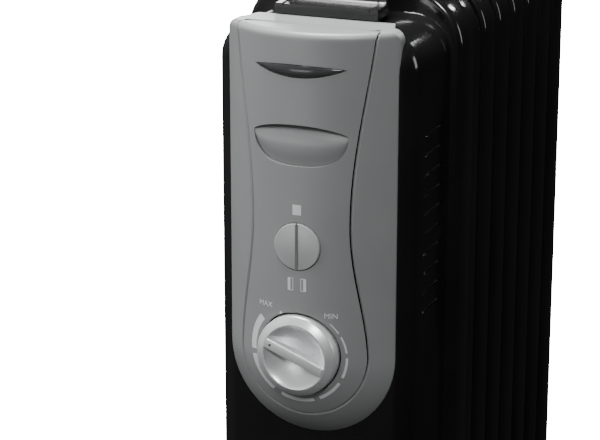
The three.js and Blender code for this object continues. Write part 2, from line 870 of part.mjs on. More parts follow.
function castorPlate(y) {
  const reach = castor.spacing + 13;
  const half = castor.plateWidth / 2;
  let body = block(-reach, reach, y - half, y + half, plateLow, plateTop);
  for (const side of [-1, 1]) {
    const bolt = side * boltOffset;
    body = body.subtract(bar([bolt, y, plateLow - 1], [bolt, y, plateTop + 1], uBolt.radius + touchGap, 12));
    const stem = side * castor.spacing;
    const hole = bar([stem, y, plateLow - 1], [stem, y, plateTop + 1], castor.stemRadius + castor.stemClearance, 16);
    body = body.subtract(hole);
  }
  return body;
}

function uBoltBody(y) {
  const low = plateLow - 12;
  const centre = new THREE.Vector3(0, y, hubLow);
  return bentRod(hubLow - low, centre, boltOffset, new THREE.Vector3(0, 0, 1), uBolt.radius, 8);
}

function wingNut(x, y) {
  const top = plateLow - touchGap;
  const low = top - 6;
  let body = bar([x, y, low], [x, y, top], 5.5, 12);
  for (const side of [-1, 1]) {
    const x0 = x + side * 4;
    const x1 = x + side * 12;
    body = body.add(block(Math.min(x0, x1), Math.max(x0, x1), y - 1, y + 1, low - 4, top - 2));
  }
  return body.subtract(bar([x, y, low - 5], [x, y, top + 1], uBolt.radius + touchGap, 12));
}

// ---- Swivel castors ----

const axleHeight = castor.wheelRadius;
const forkTop = plateLow - touchGap;

function castorWheel(x, y) {
  const half = castor.wheelWidth / 2;
  const bore = castor.axleRadius + castor.axleClearance;
  const r = castor.wheelRadius;
  const outline = polygon([
    [bore, -half],
    [r - 2, -half],
    [r, -half + 2],
    [r, half - 2],
    [r - 2, half],
    [bore, half],
  ]);
  const points = outline.getPoints().map((p) => new THREE.Vector2(p.x, p.y));
  points.push(points[0].clone());
  const geometry = new THREE.LatheGeometry(points, 24);
  geometry.rotateZ(-Math.PI / 2);
  geometry.translate(x, y, axleHeight);
  return solid(geometry);
}

function castorFork(x, y) {
  const wheelY = y + castor.trail;
  const inner = castor.wheelWidth / 2 + 0.8;
  const outer = inner + castor.forkWall;
  const side = polygon([
    [y - 7, forkTop],
    [wheelY + 6, forkTop],
    [wheelY + 6, axleHeight - 5],
    [wheelY - 5, axleHeight - 5],
  ]);
  let body = block(x - outer, x + outer, y - 7, wheelY + 6, forkTop - 2.2, forkTop);
  body = body.add(alongX(side, x - outer, x - inner));
  body = body.add(alongX(side, x + inner, x + outer));
  body = body.add(bar([x, y, forkTop - 2], [x, y, plateTop + 3], castor.stemRadius, 16));
  const hole = bar(
    [x - outer - 1, wheelY, axleHeight],
    [x + outer + 1, wheelY, axleHeight],
    castor.axleRadius + touchGap,
    12,
  );
  return body.subtract(hole);
}

function castorAxle(x, y) {
  const reach = castor.wheelWidth / 2 + 0.8 + castor.forkWall + 1.5;
  return bar([x - reach, y + castor.trail, axleHeight], [x + reach, y + castor.trail, axleHeight], castor.axleRadius, 12);
}

for (const row of castorRows) {
  add(`castor_plate_${row.name}`, castorPlate(row.y), blackPaint);
  add(`u_bolt_${row.name}`, uBoltBody(row.y), zincSteel);
  for (const side of [-1, 1]) {
    const hand = side < 0 ? 'left' : 'right';
    const x = side * castor.spacing;
    add(`wing_nut_${row.name}_${hand}`, wingNut(side * boltOffset, row.y), zincSteel);
    add(`castor_fork_${row.name}_${hand}`, castorFork(x, row.y), blackPlastic);
    add(`castor_wheel_${row.name}_${hand}`, castorWheel(x, row.y + castor.trail), tyreRubber);
    add(`castor_axle_${row.name}_${hand}`, castorAxle(x, row.y), zincSteel);
  }
}

// ---- Assembly: the origin is the middle of the footprint on the floor ----

const heater = new THREE.Group();
heater.add(...meshes);
const bounds = new THREE.Box3().setFromObject(heater);
heater.position.y = -(bounds.min.y + bounds.max.y) / 2;

export default heater;
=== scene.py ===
import math

import bmesh
import bpy
from mathutils import Matrix, Vector


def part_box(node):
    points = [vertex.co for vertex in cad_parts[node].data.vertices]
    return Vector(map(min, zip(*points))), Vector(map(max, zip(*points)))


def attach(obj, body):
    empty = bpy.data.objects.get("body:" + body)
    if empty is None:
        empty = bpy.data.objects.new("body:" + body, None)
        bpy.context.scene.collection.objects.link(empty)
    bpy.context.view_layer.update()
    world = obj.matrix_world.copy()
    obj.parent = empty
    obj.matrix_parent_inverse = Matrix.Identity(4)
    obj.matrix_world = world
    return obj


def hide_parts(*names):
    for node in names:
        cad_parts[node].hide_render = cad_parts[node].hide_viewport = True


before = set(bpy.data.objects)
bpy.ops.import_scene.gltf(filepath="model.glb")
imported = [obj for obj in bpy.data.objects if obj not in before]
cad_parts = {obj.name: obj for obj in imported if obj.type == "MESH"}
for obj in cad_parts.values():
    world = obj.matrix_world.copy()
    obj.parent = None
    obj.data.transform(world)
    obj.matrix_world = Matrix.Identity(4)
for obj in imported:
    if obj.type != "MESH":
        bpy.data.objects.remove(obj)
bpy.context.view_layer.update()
scene = bpy.context.scene

# Pieces are drawn in millimetres, with depth zero at the foremost line of the control panel.
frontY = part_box("control_panel")[0].y
toRow = Matrix.Translation((0, frontY, 0)) @ Matrix.Scale(0.001, 4)
fromRow = toRow.inverted()


def boxOf(node):
    low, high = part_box(node)
    return fromRow @ low, fromRow @ high


print("materials")


def addNode(tree, kind, **settings):
    node = tree.nodes.new(kind)
    for key, value in settings.items():
        node.inputs[key].default_value = value
    return node


def makeLook(name, look):
    material = bpy.data.materials.new(name)
    material.use_nodes = True
    tree = material.node_tree
    shader = tree.nodes["Principled BSDF"]
    for socket, value in look.get("shader", {}).items():
        shader.inputs[socket].default_value = value
    place = tree.nodes.new("ShaderNodeTexCoord")
    mottle = addNode(tree, "ShaderNodeTexNoise", Scale=look["mottle"], Detail=4.0)
    tree.links.new(place.outputs["Object"], mottle.inputs["Vector"])
    tone = tree.nodes.new("ShaderNodeValToRGB")
    tone.color_ramp.elements[0].position = 0.3
    tone.color_ramp.elements[1].position = 0.7
    tone.color_ramp.elements[0].color = (*look["dark"], 1)
    tone.color_ramp.elements[1].color = (*look["light"], 1)
    tree.links.new(mottle.outputs["Fac"], tone.inputs["Fac"])
    tree.links.new(tone.outputs["Color"], shader.inputs["Base Color"])
    smear = addNode(tree, "ShaderNodeTexNoise", Scale=look["smear"], Detail=6.0)
    tree.links.new(place.outputs["Object"], smear.inputs["Vector"])
    span = addNode(tree, "ShaderNodeMapRange")
    span.inputs["From Min"].default_value = 0.3
    span.inputs["From Max"].default_value = 0.7
    span.inputs["To Min"].default_value = look["rough"][0]
    span.inputs["To Max"].default_value = look["rough"][1]
    tree.links.new(smear.outputs["Fac"], span.inputs["Value"])
    tree.links.new(span.outputs["Result"], shader.inputs["Roughness"])
    last = None
    for grain, depth in look["bumps"]:
        noise = addNode(tree, "ShaderNodeTexNoise", Scale=grain, Detail=2.0)
        tree.links.new(place.outputs["Object"], noise.inputs["Vector"])
        bump = addNode(tree, "ShaderNodeBump", Strength=1.0, Distance=depth)
        tree.links.new(noise.outputs["Fac"], bump.inputs["Height"])
        if last:
            tree.links.new(last.outputs["Normal"], bump.inputs["Normal"])
        last = bump
    tree.links.new(last.outputs["Normal"], shader.inputs["Normal"])
    return material


looks = {
    "blackPaint": {
        "dark": (0.006, 0.006, 0.0065),
        "light": (0.009, 0.009, 0.0095),
        "mottle": 12.0,
        "smear": 9.0,
        "rough": (0.1, 0.16),
        "bumps": [(330.0, 0.00006), (1500.0, 0.000008)],
        "shader": {"Coat Weight": 0.35, "Coat Roughness": 0.05},
    },
    "greyPlastic": {
        "dark": (0.245, 0.25, 0.253),
        "light": (0.26, 0.265, 0.268),
        "mottle": 25.0,
        "smear": 30.0,
        "rough": (0.36, 0.44),
        "bumps": [(2600.0, 0.000012), (60.0, 0.00005)],
    },
    "keyPlastic": {
        "dark": (0.36, 0.365, 0.37),
        "light": (0.385, 0.39, 0.395),
        "mottle": 40.0,
        "smear": 60.0,
        "rough": (0.32, 0.4),
        "bumps": [(2600.0, 0.00001)],
    },
    "silverPlastic": {
        "dark": (0.74, 0.75, 0.76),
        "light": (0.82, 0.83, 0.84),
        "mottle": 90.0,
        "smear": 120.0,
        "rough": (0.27, 0.33),
        "bumps": [(700.0, 0.000002)],
        "shader": {"Metallic": 0.5},
    },
    "smokedLens": {
        "dark": (0.04, 0.041, 0.042),
        "light": (0.055, 0.056, 0.058),
        "mottle": 60.0,
        "smear": 30.0,
        "rough": (0.08, 0.14),
        "bumps": [(200.0, 0.00002)],
        "shader": {"Transmission Weight": 0.4, "IOR": 1.49},
    },
    "lampGlass": {
        "dark": (0.5, 0.44, 0.36),
        "light": (0.62, 0.55, 0.46),
        "mottle": 300.0,
        "smear": 200.0,
        "rough": (0.08, 0.14),
        "bumps": [(900.0, 0.00002)],
        "shader": {"Transmission Weight": 0.4},
    },
    "blackPlastic": {
        "dark": (0.012, 0.012, 0.013),
        "light": (0.018, 0.018, 0.019),
        "mottle": 40.0,
        "smear": 25.0,
        "rough": (0.3, 0.42),
        "bumps": [(1800.0, 0.00003)],
    },
    "handlePlastic": {
        "dark": (0.008, 0.008, 0.0085),
        "light": (0.012, 0.012, 0.0125),
        "mottle": 40.0,
        "smear": 25.0,
        "rough": (0.2, 0.26),
        "bumps": [(1400.0, 0.000004)],
    },
    "satinPaint": {
        "dark": (0.012, 0.012, 0.013),
        "light": (0.02, 0.02, 0.021),
        "mottle": 60.0,
        "smear": 40.0,
        "rough": (0.32, 0.46),
        "bumps": [(1400.0, 0.00003)],
    },
    "wheelPlastic": {
        "dark": (0.012, 0.012, 0.013),
        "light": (0.02, 0.02, 0.021),
        "mottle": 60.0,
        "smear": 40.0,
        "rough": (0.32, 0.46),
        "bumps": [(1400.0, 0.00003)],
    },
    "ivoryPlastic": {
        "dark": (0.68, 0.65, 0.57),
        "light": (0.74, 0.71, 0.63),
        "mottle": 80.0,
        "smear": 80.0,
        "rough": (0.4, 0.5),
        "bumps": [(1800.0, 0.00002)],
    },
    "zincSteel": {
        "dark": (0.42, 0.43, 0.45),
        "light": (0.62, 0.63, 0.64),
        "mottle": 160.0,
        "smear": 90.0,
        "rough": (0.28, 0.46),
        "bumps": [(900.0, 0.00002)],
        "shader": {"Metallic": 1.0},
    },
    "brass": {
        "dark": (0.5, 0.36, 0.14),
        "light": (0.66, 0.5, 0.22),
        "mottle": 120.0,
        "smear": 90.0,
        "rough": (0.26, 0.4),
        "bumps": [(900.0, 0.00002)],
        "shader": {"Metallic": 1.0},
    },
    "rubber": {
        "dark": (0.014, 0.014, 0.015),
        "light": (0.024, 0.024, 0.025),
        "mottle": 60.0,
        "smear": 60.0,
        "rough": (0.6, 0.75),
        "bumps": [(1400.0, 0.00005)],
    },
    "paleInk": {
        "dark": (0.62, 0.63, 0.64),
        "light": (0.7, 0.71, 0.72),
        "mottle": 500.0,
        "smear": 300.0,
        "rough": (0.4, 0.5),
        "bumps": [(3000.0, 0.000006)],
    },
    "darkInk": {
        "dark": (0.05, 0.05, 0.052),
        "light": (0.07, 0.07, 0.072),
        "mottle": 500.0,
        "smear": 300.0,
        "rough": (0.4, 0.5),
        "bumps": [(3000.0, 0.000006)],
    },
}
paints = {name: makeLook(name, look) for name, look in looks.items()}

# The frame's own nodes that stay take the same finishes.
keptLooks = {
    "mounting_plate": "zincSteel",
    "lamp_holder": "blackPlastic",
    "switch_body": "blackPlastic",
    "rocker_pin": "zincSteel",
    "thermostat_shaft": "zincSteel",
    "thermostat": "zincSteel",
    "control_bracket": "zincSteel",
    "thermal_cutout": "blackPlastic",
    "terminal_block": "ivoryPlastic",
    "terminal_bracket": "zincSteel",
    "heating_element": "zincSteel",
    "element_flange": "brass",
    "filler_plug": "brass",
    "rear_plug_top": "blackPaint",
    "rear_plug_bottom": "blackPaint",
    "cord_gland": "blackPlastic",
    "lamp_left": "lampGlass",
    "lamp_right": "lampGlass",
    "grip_liner": "rubber",
}
for row in ["front", "rear"]:
    keptLooks["castor_plate_" + row] = "blackPaint"
    keptLooks["u_bolt_" + row] = "zincSteel"
    for hand in ["left", "right"]:
        corner = row + "_" + hand
        keptLooks["wing_nut_" + corner] = "zincSteel"
        keptLooks["castor_fork_" + corner] = "blackPlastic"
        keptLooks["castor_axle_" + corner] = "zincSteel"
for node, look in keptLooks.items():
    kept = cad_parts[node]
    kept.data.materials.clear()
    kept.data.materials.append(paints[look])

print("helpers")


def finishPiece(name, bm, look, nodes=(), body="root", sharp=35):
    bmesh.ops.remove_doubles(bm, verts=bm.verts, dist=0.003)
    bmesh.ops.recalc_face_normals(bm, faces=bm.faces)
    bm.transform(toRow)
    name = name.replace(" ", "_")
    mesh = bpy.data.meshes.new(name)
    bm.to_mesh(mesh)
    bm.free()
    mesh.shade_smooth()
    mesh.set_sharp_from_angle(angle=math.radians(sharp))
    mesh.materials.append(paints[look])
    piece = bpy.data.objects.new(name, mesh)
    scene.collection.objects.link(piece)
    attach(piece, body)
    if nodes:
        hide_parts(*nodes)
    return piece


def sheetGrid(bm, columns, rows, place):
    made = bmesh.ops.create_grid(bm, x_segments=columns, y_segments=rows, size=0.5)
    for v in made["verts"]:
        v.co = place(v.co.x + 0.5, v.co.y + 0.5)
    return made["verts"]


def lathe(bm, profile, steps, spot):
    last = len(profile) - 1

    def place(u, v):
        r, along = profile[round(v * last)]
        turn = 2 * math.pi * u
        return spot(r * math.cos(turn), along, r * math.sin(turn))

    return sheetGrid(bm, steps, last, place)


def roundedCube(bm, low, high, radius, segments=3):
    made = bmesh.ops.create_cube(bm, size=1)
    middle = (Vector(low) + Vector(high)) / 2
    size = Vector(high) - Vector(low)
    for v in made["verts"]:
        v.co = Vector((v.co.x * size.x, v.co.y * size.y, v.co.z * size.z)) + middle
    edges = {e for v in made["verts"] for e in v.link_edges}
    bmesh.ops.bevel(
        bm, geom=list(edges), offset=radius, segments=segments, affect="EDGES", profile=0.5, material=-1
    )


def arcProfile(centre, radius, start, end, steps):
    angles = [math.radians(start + (end - start) * i / steps) for i in range(steps + 1)]
    return [(centre[0] + radius * math.cos(a), centre[1] + radius * math.sin(a)) for a in angles]


def coreSolid(bm, faces, shift):
    made = bmesh.ops.extrude_face_region(bm, geom=faces)
    for v in [g for g in made["geom"] if isinstance(g, bmesh.types.BMVert)]:
        v.co += shift(v)


def applyCutters(piece, cutters):
    for mode, cutter in cutters:
        cut = piece.modifiers.new("cut", "BOOLEAN")
        cut.operation = mode
        cut.solver = "EXACT"
        cut.object = cutter
    bpy.context.view_layer.update()
    settled = piece.evaluated_get(bpy.context.evaluated_depsgraph_get())
    mesh = bpy.data.meshes.new_from_object(settled)
    piece.modifiers.clear()
    old = piece.data
    piece.data = mesh
    bpy.data.meshes.remove(old)
    for _, cutter in cutters:
        bpy.data.objects.remove(cutter)
    mesh.shade_smooth()
    mesh.set_sharp_from_angle(angle=math.radians(30))


def cutterFrom(bm):
    bmesh.ops.remove_doubles(bm, verts=bm.verts, dist=0.003)
    bmesh.ops.recalc_face_normals(bm, faces=bm.faces)
    bm.transform(toRow)
    mesh = bpy.data.meshes.new("cutter")
    bm.to_mesh(mesh)
    bm.free()
    cutter = bpy.data.objects.new("cutter", mesh)
    scene.collection.objects.link(cutter)
    return cutter


# A rounded rectangle in x and z, walked in equal stations, with every corner an arc.
cornerSteps = 14
straightSteps = 4
quarterSteps = cornerSteps + straightSteps
rimStations = 4 * quarterSteps


def cornerPoint(size, inset, quarter, part):
    r = max(size["corner"] - inset, 0.5)
    reachX = size["half"] - inset - r
    x = reachX if quarter in (0, 3) else -reachX
    z = size["top"] - inset - r if quarter in (0, 1) else size["bottom"] + inset + r
    turn = math.radians(90 * (quarter + part))
    return Vector((x + r * math.cos(turn), 0, z + r * math.sin(turn)))


def rimPoint(size, inset, station):
    quarter, step = divmod(station % rimStations, quarterSteps)
    if step <= cornerSteps:
        return cornerPoint(size, inset, quarter, step / cornerSteps)
    part = (step - cornerSteps) / straightSteps
    here = cornerPoint(size, inset, quarter, 1)
    return here.lerp(cornerPoint(size, inset, (quarter + 1) % 4, 0), part)


# A profile of (depth, inset, size) swept round the rectangle. An open profile is capped at both ends.
def sweepRim(bm, profile, closed):
    walked = profile + profile[:1] if closed else profile
    last = len(walked) - 1

    def place(u, v):
        depth, inset, size = walked[round(v * last)]
        spot = rimPoint(size, inset, round(u * rimStations))
        spot.y = depth
        return spot

    verts = sheetGrid(bm, rimStations, last, place)
    bmesh.ops.remove_doubles(bm, verts=verts, dist=0.003)
    if not closed:
        ends = [e for e in bm.edges if e.is_boundary]
        bmesh.ops.holes_fill(bm, edges=ends, sides=0)


print("oil sections")

finLow, finHigh = boxOf("fin_1")
rearPlugLow, rearPlugHigh = boxOf("rear_plug_top")
hubHigh = (rearPlugLow.z + rearPlugHigh.z) / 2
flangeLow, flangeHigh = boxOf("element_flange")
hubLow = (flangeLow.z + flangeHigh.z) / 2
finRim = {"half": finHigh.x, "bottom": finLow.z, "top": finHigh.z, "corner": 42}
fin = {
    "band": 12.7, "bend": 3, "lip": 3.5, "sheet": 1,
    "channel": 36, "channelHalf": 17, "chamberHalf": 6.5, "soft": 5,
    "web": 0.45, "webInset": 14.6, "hub": 27,
}


def finPiece(number):
    low, high = boxOf("fin_" + str(number))
    middle = (low.y + high.y) / 2
    bm = bmesh.new()
    band, bend, lip, sheet = fin["band"], fin["bend"], fin["lip"], fin["sheet"]
    bendCentre = (band - bend, bend)
    half = arcProfile(bendCentre, bend, -90, 0, 5)
    half += [(band, bend + lip), (band - sheet, bend + lip)]
    half += arcProfile(bendCentre, bend - sheet, 0, -90, 5)
    half += [(2.4, 1), (0.9, 2.2), (0.5, 4), (0.5, 15)]
    profile = [(d, i, finRim) for d, i in half]
    profile += [(-d, i, finRim) for d, i in reversed(half)]
    profile = [(middle + d, i, size) for d, i, size in profile]
    sweepRim(bm, profile, True)
    web = [(middle + side * fin["web"], fin["webInset"], finRim) for side in (-1, 1)]
    sweepRim(bm, web, False)
    chamber, wide, soft = fin["chamberHalf"], fin["channelHalf"], fin["soft"]
    for x in (-fin["channel"], fin["channel"]):
        start = (x - wide, middle - chamber, hubLow - wide)
        end = (x + wide, middle + chamber, hubHigh + wide)
        roundedCube(bm, start, end, soft, 4)
    reach = fin["channel"] + 4
    shallow = chamber - 0.4
    joint = high.y - middle
    hub = fin["hub"]
    for z in (hubLow, hubHigh):
        start = (-reach, middle - shallow, z - wide)
        end = (reach, middle + shallow, z + wide)
        roundedCube(bm, start, end, soft, 4)
        ring = [(0.001, -joint), (hub - 6, -joint), (hub - 4, -joint + 1), (hub - 1.5, -chamber - 3)]
        ring += [(hub, -chamber), (hub, chamber)]
        ring += [(hub - 1.5, chamber + 3), (hub - 4, joint - 1), (hub - 6, joint), (0.001, joint)]
        lathe(bm, ring, 40, lambda a, b, c: Vector((a, middle + b, z + c)))
    return finishPiece("section " + str(number), bm, "blackPaint", ["fin_" + str(number)], sharp=40)


for number in range(1, 8):
    finPiece(number)

print("front cover")

coverLow, coverHigh = boxOf("front_cover")
collarRim = {"half": coverHigh.x, "bottom": coverLow.z, "top": coverHigh.z, "corner": 44}
box = {"front": coverLow.y, "round": 13, "step": 102, "back": coverHigh.y, "edge": 5}
coverRim = {"half": 75, "bottom": 58, "top": 608.5, "corner": 28}


def coverPiece():
    bm = bmesh.new()
    front, r, step, back = box["front"], box["round"], box["step"], box["back"]
    outer = [(front, 30, coverRim), (front, r + 1, coverRim)]
    for i in range(9):
        a = math.radians(90 * i / 8)
        outer.append((front + r - r * math.cos(a), r - r * math.sin(a), coverRim))
    outer += [(step - 2, 0, coverRim), (step - 0.6, -0.4, coverRim), (step, -1.6, coverRim)]
    edge = box["edge"]
    for i in range(7):
        a = math.radians(90 * i / 6)
        outer.append((step + edge - edge * math.cos(a), edge - edge * math.sin(a), collarRim))
    outer += [(back - 1.5, 0, collarRim), (back - 0.4, 0.4, collarRim), (back, 1.5, collarRim)]
    outer += [(back, 4, collarRim), (step + edge, 4, collarRim), (step + 2, 7, collarRim)]
    outer += [(step + 2, 1.5, coverRim), (front + r, 1.5, coverRim), (front + 3, 8, coverRim)]
    outer += [(front + 1.5, 30, coverRim)]
    sweepRim(bm, outer, False)
    return finishPiece("front cover", bm, "blackPaint", ["front_cover"], sharp=30)


louvre = {
    "count": 10, "pitch": 14.5, "lowest": 402, "front": 52, "length": 40, "gap": 2.4,
    "bladeHalf": 3.4, "bladeThick": 0.45, "behind": 3.6, "lean": 48,
}


def coverSlots(cover):
    cutters = []
    for i in range(louvre["count"]):
        z = louvre["lowest"] + louvre["pitch"] * i
        for side in (-1, 1):
            bm = bmesh.new()
            x = side * coverRim["half"]
            y0, y1 = louvre["front"] + 1, louvre["front"] + louvre["length"] - 1
            half = louvre["gap"] / 2
            roundedCube(bm, (x - 4, y0, z - half), (x + 4, y1, z + half), 0.8, 2)
            cutters.append(("DIFFERENCE", cutterFrom(bm)))
    applyCutters(cover, cutters)


# A thin blade leans behind each slot, so the box can't be seen into from above.
def louvreBlades():
    bm = bmesh.new()
    for i in range(louvre["count"]):
        z = louvre["lowest"] + louvre["pitch"] * i
        for side in (-1, 1):
            part = bmesh.new()
            y0, y1 = louvre["front"] - 1, louvre["front"] + louvre["length"] + 1
            deep, thick = louvre["bladeHalf"], louvre["bladeThick"]
            roundedCube(part, (-deep, y0, -thick), (deep, y1, thick), 0.35, 2)
            lean = Matrix.Rotation(math.radians(side * louvre["lean"]), 4, "Y")
            spot = (side * (coverRim["half"] - louvre["behind"]), 0, z + 0.4)
            part.transform(Matrix.Translation(spot) @ lean)
            mesh = bpy.data.meshes.new("part")
            part.to_mesh(mesh)
            part.free()
            bm.from_mesh(mesh)
            bpy.data.meshes.remove(mesh)
    return finishPiece("louvre blades", bm, "satinPaint", sharp=40)


cover = coverPiece()
coverSlots(cover)
louvreBlades()

print("fascia and panel")

fasciaLow, fasciaHigh = boxOf("fascia")
skin = {
    "curve": 85,
    "half": fasciaHigh.x,
    "roundZ": fasciaLow.z + fasciaHigh.x,
    "top": fasciaHigh.z,
    "edge": 4.5,
    "thick": 2.4,
    "cornerTop": 8,
    "tabBack": fasciaHigh.y,
    "tabHalf": 51,
    "shoulder": 38.4,
    "gap": 0.9,
}
knobLow, knobHigh = boxOf("control_knob")
dialZ = (knobLow.z + knobHigh.z) / 2
panel = {"seam": 48.5, "waist": 36.8, "waistAbove": 97, "flare": 8.8, "hole": 31.4, "back": 27, "corner": 6}


def domeDepth(x, z):
    r = abs(x) if z > skin["roundZ"] else math.hypot(x, z - skin["roundZ"])
    return skin["curve"] - math.sqrt(skin["curve"] ** 2 - min(r, skin["half"]) ** 2)


# Half the panel's width: a round end, a waist, and a wider top.
def seamHalf(z):
    above = z - dialZ
    if above < 0:
        return math.sqrt(max(panel["seam"] ** 2 - above ** 2, 0))
    if above < panel["waistAbove"]:
        part = (above + 8) / (panel["waistAbove"] + 8)
        middle = (panel["seam"] + panel["waist"]) / 2
        return middle + (panel["seam"] - panel["waist"]) / 2 * math.cos(math.pi * part)
    return panel["waist"] + panel["flare"] * (1 - math.cos(math.pi * (above - panel["waistAbove"]) / 180))


faceTop = skin["top"] - skin["edge"]


# A place on the skin: level is ("face", z), ("edge", part of the turn) or ("roof", part of the way back).
def onSkin(x, level, back):
    zone, amount = level
    if zone == "face":
        return Vector((x, domeDepth(x, amount), amount))
    edge = skin["edge"]
    front = domeDepth(x, skin["top"])
    if zone == "edge":
        turn = amount * math.pi / 2
        return Vector((x, front + edge - edge * math.cos(turn), faceTop + edge * math.sin(turn)))
    return Vector((x, front + edge + (back - front - edge) * amount, skin["top"]))


def sideLevels():
    levels = [("roof", math.cos(math.pi / 2 * i / 12)) for i in range(12)]
    levels += [("edge", 1 - i / 6) for i in range(6)]
    steps = 96
    foot = dialZ + panel["hole"]
    levels += [("face", faceTop + (foot - faceTop) * i / steps) for i in range(steps + 1)]
    return levels


def roofCorner(amount, back):
    front = domeDepth(seamHalf(skin["top"]), skin["top"]) + skin["edge"]
    deep = front + (back - front) * amount - (back - panel["corner"])
    if deep <= 0:
        return 0
    return panel["corner"] - math.sqrt(max(panel["corner"] ** 2 - deep ** 2, 0))


def panelRows(offset):
    rows = []
    for level in sideLevels():
        zone, amount = level
        z = amount if zone == "face" else skin["top"]
        half = seamHalf(z) + offset - (roofCorner(amount, panel["back"]) if zone == "roof" else 0)
        rows.append((0, half, level, level))
    hole = panel["hole"]
    seam = panel["seam"] + offset
    for i in range(1, 25):
        a = math.radians(90 - 90 * i / 24)
        z = dialZ + hole * math.sin(a)
        rows.append((hole * math.cos(a), seamHalf(z) + offset, ("face", z), ("face", z)))
    for i in range(1, 36):
        a = math.radians(-90 * i / 36)
        inLevel = ("face", dialZ + hole * math.sin(a))
        outLevel = ("face", dialZ + seam * math.sin(a))
        rows.append((hole * math.cos(a), seam * math.cos(a), inLevel, outLevel))
    bottom = (0, 0, ("face", dialZ - hole), ("face", dialZ - seam))
    left = [(-a, -b, c, d) for a, b, c, d in reversed(rows)]
    return rows + [bottom] + left


def between(a, b, part):
    if a[0] == "face":
        return ("face", a[1] + (b[1] - a[1]) * part)
    return a


def panelPiece():
    bm = bmesh.new()
    rows = panelRows(-skin["gap"] / 2)
    last = len(rows) - 1

    def place(u, v):
        inX, outX, inLevel, outLevel = rows[round(u * last)]
        part = math.sin(v * math.pi / 2)
        level = between(inLevel, outLevel, part)
        return onSkin(inX + (outX - inX) * part, level, panel["back"] - skin["gap"] / 2)

    sheetGrid(bm, last, 34, place)
    return shellFrom(bm, 1.3)


def shellFrom(bm, rounding):
    bmesh.ops.remove_doubles(bm, verts=bm.verts, dist=0.01)
    bmesh.ops.recalc_face_normals(bm, faces=bm.faces)
    bm.normal_update()
    facing = sum(f.normal.y * f.calc_area() for f in bm.faces)
    if facing > 0:
        bmesh.ops.reverse_faces(bm, faces=bm.faces)
        bm.normal_update()
    rim = [e for e in bm.edges if e.is_boundary]
    rim = [e for e in rim if any(abs(v.co.x) < 50 or v.co.z < skin["top"] - 0.05 for v in e.verts)]
    made = bmesh.ops.extrude_face_region(bm, geom=bm.faces[:])
    for v in [g for g in made["geom"] if isinstance(g, bmesh.types.BMVert)]:
        v.co -= v.normal * skin["thick"]
    bmesh.ops.recalc_face_normals(bm, faces=bm.faces)
    live = [e for e in rim if e.is_valid]
    bmesh.ops.bevel(bm, geom=live, offset=rounding, segments=4, affect="EDGES", profile=0.5, material=-1)
    return bm


def almondLevels(halfWidth, rise, drop, x):
    upper = (halfWidth ** 2 + rise ** 2) / (2 * rise)
    lower = (halfWidth ** 2 + drop ** 2) / (2 * drop)
    high = rise - upper + math.sqrt(max(upper ** 2 - x ** 2, 0))
    low = lower - drop - math.sqrt(max(lower ** 2 - x ** 2, 0))
    return low, max(high, low)


# A lens-shaped solid between two depths that may follow the skin.
def almondSolid(shape, frontAt, backAt, columns=48, rows=24, levels=almondLevels):
    bm = bmesh.new()
    halfWidth = shape["half"]

    def place(u, v):
        x = -halfWidth * math.cos(math.pi * u)
        low, high = levels(halfWidth, shape["rise"], shape["drop"], x)
        z = shape["z"] + low + (high - low) * v
        return Vector((x, frontAt(x, z), z))

    sheetGrid(bm, columns, rows, place)
    bmesh.ops.remove_doubles(bm, verts=bm.verts, dist=0.003)
    made = bmesh.ops.extrude_face_region(bm, geom=bm.faces[:])
    for v in [g for g in made["geom"] if isinstance(g, bmesh.types.BMVert)]:
        v.co.y = backAt(v.co.x, v.co.z)
    return bm


rockerLow, rockerHigh = boxOf("rocker_left")
rockerZ = (rockerLow.z + rockerHigh.z) / 2
rockerHole = 17.65
lensShape = {"half": 34.5, "rise": 2.5, "drop": 7, "z": 585.5}
scoop = {"half": 35.4, "rise": 7.4, "drop": 22.2, "z": 538, "deep": 8, "foot": 2.6, "crown": 0.5}


def scoopLevels(halfWidth, rise, drop, x):
    part = min(abs(x) / halfWidth, 1)
    return -drop * (1 - part ** 3) ** 0.45, rise * (1 - part ** 2) ** 0.7


# The floor is a shallow pillow, sunk a little at its foot and deep under the upper lip.
def scoopFloor(x, z):
    low, high = scoopLevels(scoop["half"], scoop["rise"], scoop["drop"], x)
    part = min(max((z - scoop["z"] - low) / max(high - low, 0.01), 0), 1)
    across = max(1 - (x / scoop["half"]) ** 2, 0)
    if part < 0.5:
        sink = scoop["foot"] * (1 - part * 2) ** 2
    else:
        sink = scoop["deep"] * across ** 0.5 * (part * 2 - 1) ** 2
    return domeDepth(x, z) + scoop["crown"] + sink


def panelWithHoles():
    bm = panelPiece()
    piece = finishPiece("control panel", bm, "greyPlastic", ["control_panel"])
    hole = bmesh.new()
    profile = [(0.001, -6), (rockerHole, -6), (rockerHole, 16), (0.001, 16)]
    lathe(hole, profile, 96, lambda a, b, c: Vector((a, b, rockerZ + c)))
    slot = almondSolid(lensShape, lambda x, z: -6, lambda x, z: 20)
    wall = 1.8
    pocket = {"half": scoop["half"] + 2, "rise": scoop["rise"] + wall, "drop": scoop["drop"] + wall}
    pocket["z"] = scoop["z"]
    backing = almondSolid(pocket, lambda x, z: domeDepth(x, z) + 1.2, lambda x, z: 13.5, levels=scoopLevels)
    hollow = almondSolid(scoop, lambda x, z: domeDepth(x, z) - 3, scoopFloor, 64, 40, scoopLevels)
    applyCutters(piece, [
        ("UNION", cutterFrom(backing)),
        ("DIFFERENCE", cutterFrom(hole)),
        ("DIFFERENCE", cutterFrom(slot)),
        ("DIFFERENCE", cutterFrom(hollow)),
    ])
    return piece


panelWithHoles()


# The fascia's outer half width, which rounds off at the top corners.
def farHalf(z):
    r = skin["cornerTop"]
    rise = min(z - (skin["top"] - r), r)
    if rise <= 0:
        return skin["half"]
    return skin["half"] - r + math.sqrt(r ** 2 - rise ** 2)


